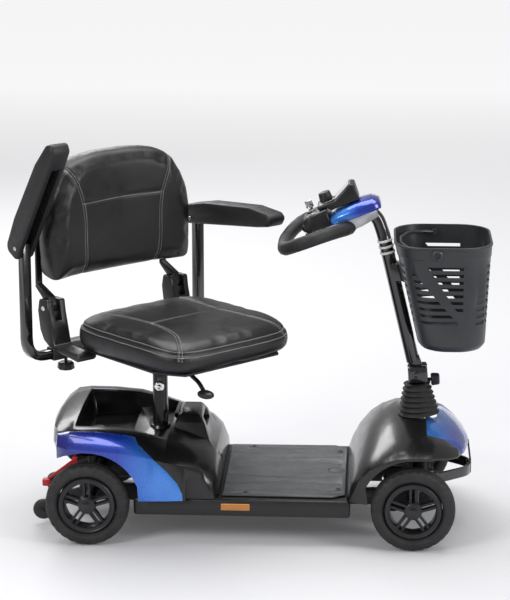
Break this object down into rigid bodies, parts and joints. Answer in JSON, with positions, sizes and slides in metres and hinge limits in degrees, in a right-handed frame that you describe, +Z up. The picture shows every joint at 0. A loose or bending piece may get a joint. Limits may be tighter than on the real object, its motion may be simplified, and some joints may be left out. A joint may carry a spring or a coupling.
{
  "type": "mobility scooter",
  "caption": "Four-wheel take-apart mobility scooter with a swivel seat turned to the side, a steering tiller with a two-lobed hand loop and a front basket.",
  "frame": {"origin": "on the ground, under the middle of the machine's overall box", "axes": "+X the way the scooter drives, +Y to the driver's left, +Z up, out of the footboard"},
  "size_m": [1.117, 0.6691, 0.9202],
  "materials": {
    "frame_black": "satin black powder coat",
    "tube_black": "gloss black paint",
    "plastic_black": "fine-textured black plastic",
    "panel_blue": "metallic blue lacquer",
    "basket_grey": "satin dark-grey plastic",
    "mat_grey": "ribbed grey rubber",
    "tyre": "grey-black solid tyre",
    "rim_grey": "dark-grey satin rim",
    "rubber_black": "soft black rubber",
    "chrome": "bright chrome",
    "silver": "silver plastic",
    "leather_black": "black leatherette with light stitching",
    "red": "red plastic",
    "amber": "amber reflector"
  },
  "bodies": {
    "chassis": {"chassis_frame": "frame_black", "floor_pan": "plastic_black", "floor_mat": "mat_grey", "side_panel_right": "panel_blue", "side_panel_left": "panel_blue", "rear_shroud": "plastic_black", "mid_cover": "plastic_black", "nose_panel": "panel_blue", "front_shroud": "plastic_black", "steering_boot": "rubber_black", "front_bumper": "tube_black", "front_axle": "frame_black", "transaxle": "frame_black", "seat_post": "tube_black", "height_bolt": "chrome", "side_reflector_right": "amber", "side_reflector_left": "amber"},
    "battery": {"battery_pack": "plastic_black"},
    "tie_rod": {"tie_rod": "frame_black"},
    "freewheel_lever": {"freewheel_lever": "red"},
    "seat_column": {"seat_stem": "frame_black"},
    "seat": {"seat_pan": "plastic_black", "seat_cushion": "leather_black"},
    "swivel_lever": {"swivel_lever": "plastic_black"},
    "backrest": {"backrest_frame": "plastic_black", "backrest_cushion": "leather_black"},
    "steering": {"steering_stem": "tube_black"},
    "tiller": {"tiller_tube": "tube_black", "head_tray": "silver", "control_pod": "plastic_black", "hand_loop": "rubber_black", "head_cowl": "panel_blue", "display_hood": "plastic_black"},
    "tiller_lock_knob": {"tiller_lock_knob": "plastic_black"},
    "speed_dial": {"speed_dial": "plastic_black"},
    "key": {"key": "chrome"},
    "horn_button": {"horn_button": "plastic_black"},
    "basket": {"basket": "basket_grey"},
    "basket_handle": {"basket_handle": "basket_grey"},
    "rear_wheel_right": {"tyre_rear_right": "tyre", "rim_rear_right": "rim_grey"},
    "knuckle_right": {"steering_knuckle_right": "frame_black"},
    "front_wheel_right": {"tyre_front_right": "tyre", "rim_front_right": "rim_grey"},
    "antitip_right": {"antitip_wheel_right": "rubber_black"},
    "arm_right": {"arm_bar_right": "tube_black"},
    "arm_pad_right": {"arm_pad_right": "rubber_black"},
    "arm_knob_right": {"arm_knob_right": "plastic_black"},
    "throttle_right": {"throttle_lever_right": "plastic_black"},
    "rear_wheel_left": {"tyre_rear_left": "tyre", "rim_rear_left": "rim_grey"},
    "knuckle_left": {"steering_knuckle_left": "frame_black"},
    "front_wheel_left": {"tyre_front_left": "tyre", "rim_front_left": "rim_grey"},
    "antitip_left": {"antitip_wheel_left": "rubber_black"},
    "arm_left": {"arm_bar_left": "tube_black"},
    "arm_pad_left": {"arm_pad_left": "rubber_black"},
    "arm_knob_left": {"arm_knob_left": "plastic_black"},
    "throttle_left": {"throttle_lever_left": "plastic_black"}
  },
  "joints": [
    {"name": "steering", "type": "hinge", "parent": "chassis", "child": "steering", "pos_m": [0.3945, 0, 0.3], "axis": [-0.0698, 0, 0.9976], "range_deg": [-30, 30]},
    {"name": "tie_rod_slide", "type": "slide", "parent": "chassis", "child": "tie_rod", "axis": [0, 1, 0], "range_m": [-0.034, 0.034]},
    {"name": "rear_wheel_right_roll", "type": "hinge", "parent": "chassis", "child": "rear_wheel_right", "pos_m": [-0.361, -0.2195, 0.0965], "axis": [0, 1, 0], "continuous": true},
    {"name": "kingpin_right", "type": "hinge", "parent": "chassis", "child": "knuckle_right", "pos_m": [0.384, -0.158, 0.0965], "axis": [0, 0, 1], "range_deg": [-30.5, 30.5]},
    {"name": "front_wheel_right_roll", "type": "hinge", "parent": "knuckle_right", "child": "front_wheel_right", "pos_m": [0.384, -0.2195, 0.0965], "axis": [0, 1, 0], "continuous": true},
    {"name": "antitip_right_roll", "type": "hinge", "parent": "chassis", "child": "antitip_right", "pos_m": [-0.4825, -0.101, 0.0385], "axis": [0, 1, 0], "continuous": true},
    {"name": "arm_right_width", "type": "slide", "parent": "seat", "child": "arm_right", "axis": [-0.7071, -0.7071, 0], "range_m": [-0.015, 0.045]},
    {"name": "arm_pad_right_flip", "type": "hinge", "parent": "arm_right", "child": "arm_pad_right", "pos_m": [-0.51776, -0.06576, 0.662], "axis": [0.7071, 0.7071, 0], "range_deg": [-40, 60]},
    {"name": "arm_knob_right_turn", "type": "hinge", "parent": "seat", "child": "arm_knob_right", "pos_m": [-0.43857, 0.01344, 0.36], "axis": [0, 0, 1], "continuous": true},
    {"name": "throttle_right_pull", "type": "hinge", "parent": "tiller", "child": "throttle_right", "pos_m": [0.13957, -0.03, 0.68802], "axis": [-0.342, 0, 0.9397], "range_deg": [-9.5, 9.5], "stiffness_Nm_per_rad": 0.3},
    {"name": "rear_wheel_left_roll", "type": "hinge", "parent": "chassis", "child": "rear_wheel_left", "pos_m": [-0.361, 0.2195, 0.0965], "axis": [0, 1, 0], "continuous": true},
    {"name": "kingpin_left", "type": "hinge", "parent": "chassis", "child": "knuckle_left", "pos_m": [0.384, 0.158, 0.0965], "axis": [0, 0, 1], "range_deg": [-30.5, 30.5]},
    {"name": "front_wheel_left_roll", "type": "hinge", "parent": "knuckle_left", "child": "front_wheel_left", "pos_m": [0.384, 0.2195, 0.0965], "axis": [0, 1, 0], "continuous": true},
    {"name": "antitip_left_roll", "type": "hinge", "parent": "chassis", "child": "antitip_left", "pos_m": [-0.4825, 0.101, 0.0385], "axis": [0, 1, 0], "continuous": true},
    {"name": "arm_left_width", "type": "slide", "parent": "seat", "child": "arm_left", "axis": [0.7071, 0.7071, 0], "range_m": [-0.015, 0.045]},
    {"name": "arm_pad_left_flip", "type": "hinge", "parent": "arm_left", "child": "arm_pad_left", "pos_m": [-0.14724, 0.30476, 0.662], "axis": [0.7071, 0.7071, 0], "range_deg": [-92, 0]},
    {"name": "arm_knob_left_turn", "type": "hinge", "parent": "seat", "child": "arm_knob_left", "pos_m": [-0.22643, 0.22557, 0.36], "axis": [0, 0, 1], "continuous": true},
    {"name": "throttle_left_pull", "type": "hinge", "parent": "tiller", "child": "throttle_left", "pos_m": [0.13957, 0.03, 0.68802], "axis": [-0.342, 0, 0.9397], "range_deg": [-9.7, 9.7], "stiffness_Nm_per_rad": 0.3},
    {"name": "battery_lift", "type": "slide", "parent": "chassis", "child": "battery", "axis": [0, 0, 1], "range_m": [0, 0.08]},
    {"name": "freewheel_pull", "type": "hinge", "parent": "chassis", "child": "freewheel_lever", "pos_m": [-0.413, -0.062, 0.15], "axis": [0, 1, 0], "range_deg": [0, 30]},
    {"name": "seat_height", "type": "slide", "parent": "chassis", "child": "seat_column", "axis": [0, 0, 1], "range_m": [0, 0.05]},
    {"name": "seat_swivel", "type": "hinge", "parent": "seat_column", "child": "seat", "pos_m": [-0.213, 0, 0.405], "axis": [0, 0, 1], "range_deg": [0, 90]},
    {"name": "swivel_lever_pull", "type": "hinge", "parent": "seat", "child": "swivel_lever", "pos_m": [-0.1635, -0.13435, 0.408], "axis": [0, 0, 1], "range_deg": [0, 20], "stiffness_Nm_per_rad": 0.5},
    {"name": "backrest_fold", "type": "hinge", "parent": "seat", "child": "backrest", "pos_m": [-0.33179, 0.11879, 0.508], "axis": [0.7071, 0.7071, 0], "range_deg": [0, 60]},
    {"name": "tiller_tilt", "type": "hinge", "parent": "steering", "child": "tiller", "pos_m": [0.389, 0, 0.36], "axis": [0, 1, 0], "range_deg": [0, 25]},
    {"name": "tiller_lock_turn", "type": "hinge", "parent": "steering", "child": "tiller_lock_knob", "pos_m": [0.41914, 0, 0.34182], "axis": [0.9976, 0, 0.0698], "continuous": true},
    {"name": "speed_dial_turn", "type": "hinge", "parent": "tiller", "child": "speed_dial", "pos_m": [0.17714, 0, 0.76608], "axis": [-0.342, 0, 0.9397], "range_deg": [-140, 140]},
    {"name": "key_turn", "type": "hinge", "parent": "tiller", "child": "key", "pos_m": [0.14024, 0.028, 0.73881], "axis": [-0.342, 0, 0.9397], "range_deg": [-90, 0]},
    {"name": "horn_press", "type": "slide", "parent": "tiller", "child": "horn_button", "axis": [0.342, 0, -0.9397], "range_m": [0, 0.0012], "stiffness_N_per_m": 300},
    {"name": "basket_lift", "type": "slide", "parent": "tiller", "child": "basket", "axis": [0, 0, 1], "range_m": [0, 0.05]},
    {"name": "basket_handle_swing", "type": "hinge", "parent": "basket", "child": "basket_handle", "pos_m": [0.43, 0, 0.669], "axis": [0, 1, 0], "range_deg": [0, 165]}
  ],
  "couplings": [
    {"joint": "tie_rod_slide", "follows": "steering", "m_per_rad": -0.062},
    {"joint": "kingpin_right", "follows": "steering", "ratio": 1},
    {"joint": "kingpin_left", "follows": "steering", "ratio": 1},
    {"joint": "throttle_left_pull", "follows": "throttle_right_pull", "ratio": 1}
  ]
}
